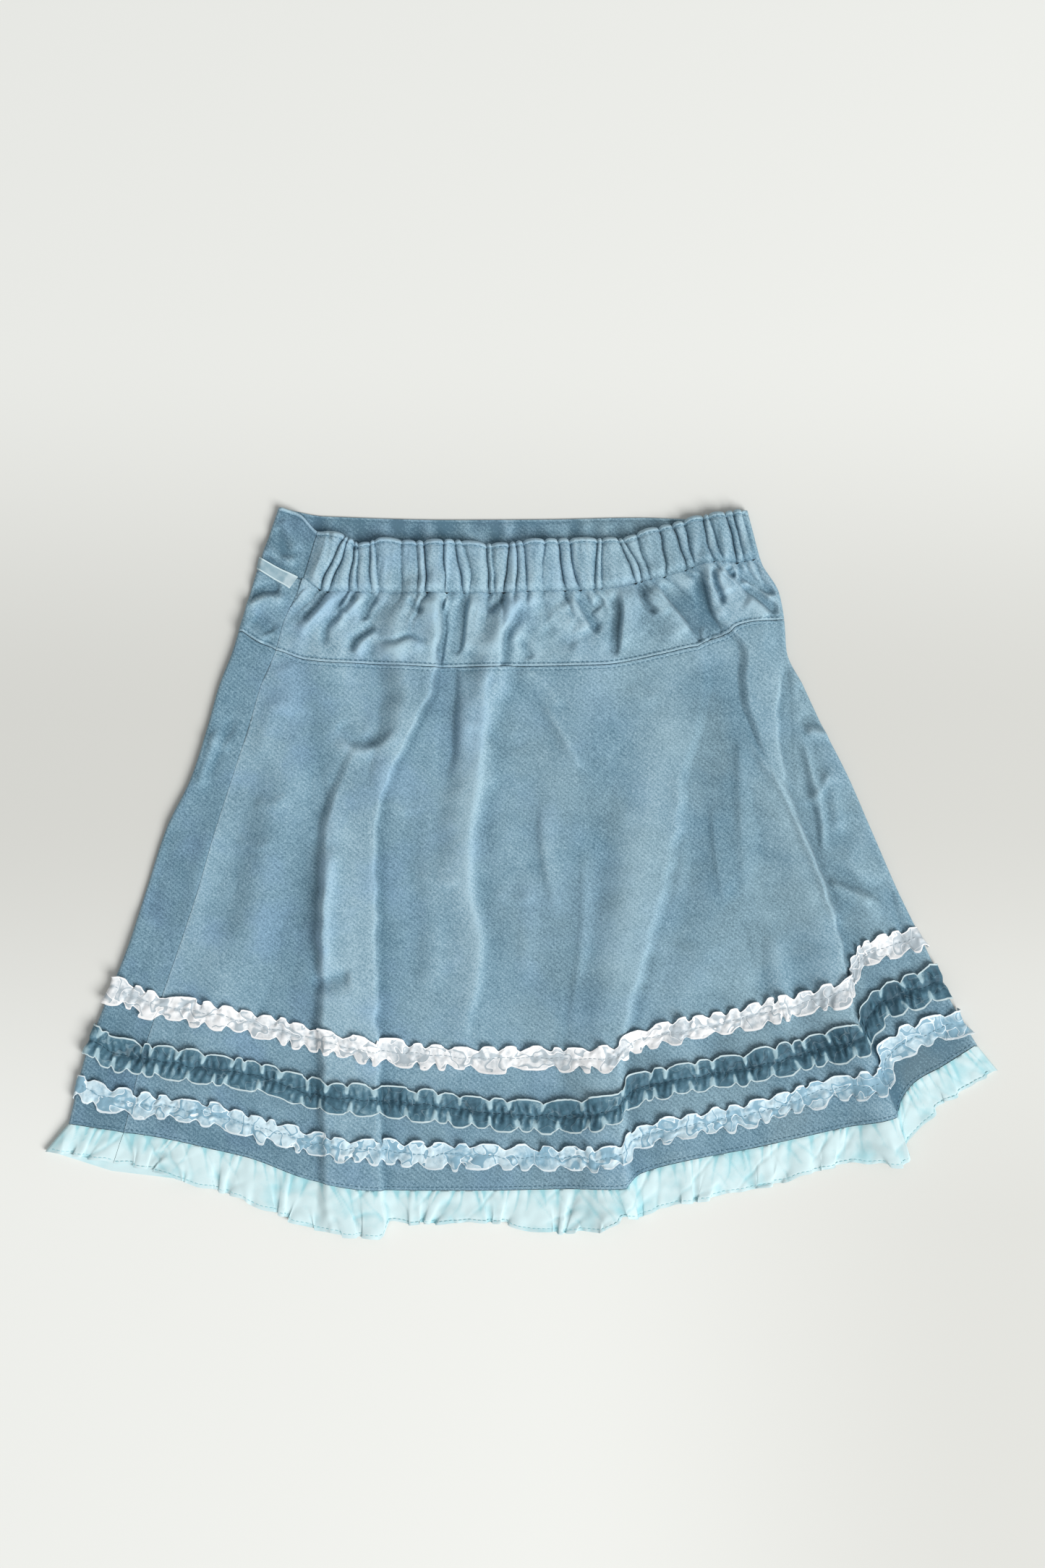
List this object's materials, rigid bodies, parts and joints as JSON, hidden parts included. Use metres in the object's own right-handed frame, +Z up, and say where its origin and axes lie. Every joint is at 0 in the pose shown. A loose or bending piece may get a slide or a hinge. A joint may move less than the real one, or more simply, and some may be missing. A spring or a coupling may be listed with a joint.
{
  "type": "corduroy skirt",
  "caption": "Child's flared corduroy skirt laid flat, back side up: elastic waistband, yoke, gathered ribbon trims and a cotton hem frill.",
  "frame": {"origin": "centre of the laid-out skirt's box, on the surface it lies on", "axes": "+X towards the right hem corner as seen from above, +Y towards the waist, +Z up from the surface"},
  "size_m": [0.5276, 0.404, 0.0129],
  "materials": {
    "corduroy": "washed light blue fine corduroy with a brushed, mottled nap",
    "white_ribbon": "white sheer gathered ribbon with satin edges",
    "velvet_ribbon": "teal blue gathered velvet ribbon with pale satin edges",
    "blue_ribbon": "light blue gathered satin ribbon",
    "aqua_cotton": "pale aqua plain cotton with a narrow stitched hem",
    "tab_ribbon": "narrow pale blue velvet ribbon end"
  },
  "bodies": {
    "root": {"front_panel": "corduroy", "back_panel": "corduroy", "front_yoke": "corduroy", "back_yoke": "corduroy", "front_waistband": "corduroy", "back_waistband": "corduroy", "waist_ribbon": "tab_ribbon", "white_ruffle": "white_ribbon", "velvet_ruffle": "velvet_ribbon", "blue_ruffle": "blue_ribbon", "front_hem_frill": "aqua_cotton", "back_hem_frill": "aqua_cotton"}
  },
  "joints": []
}
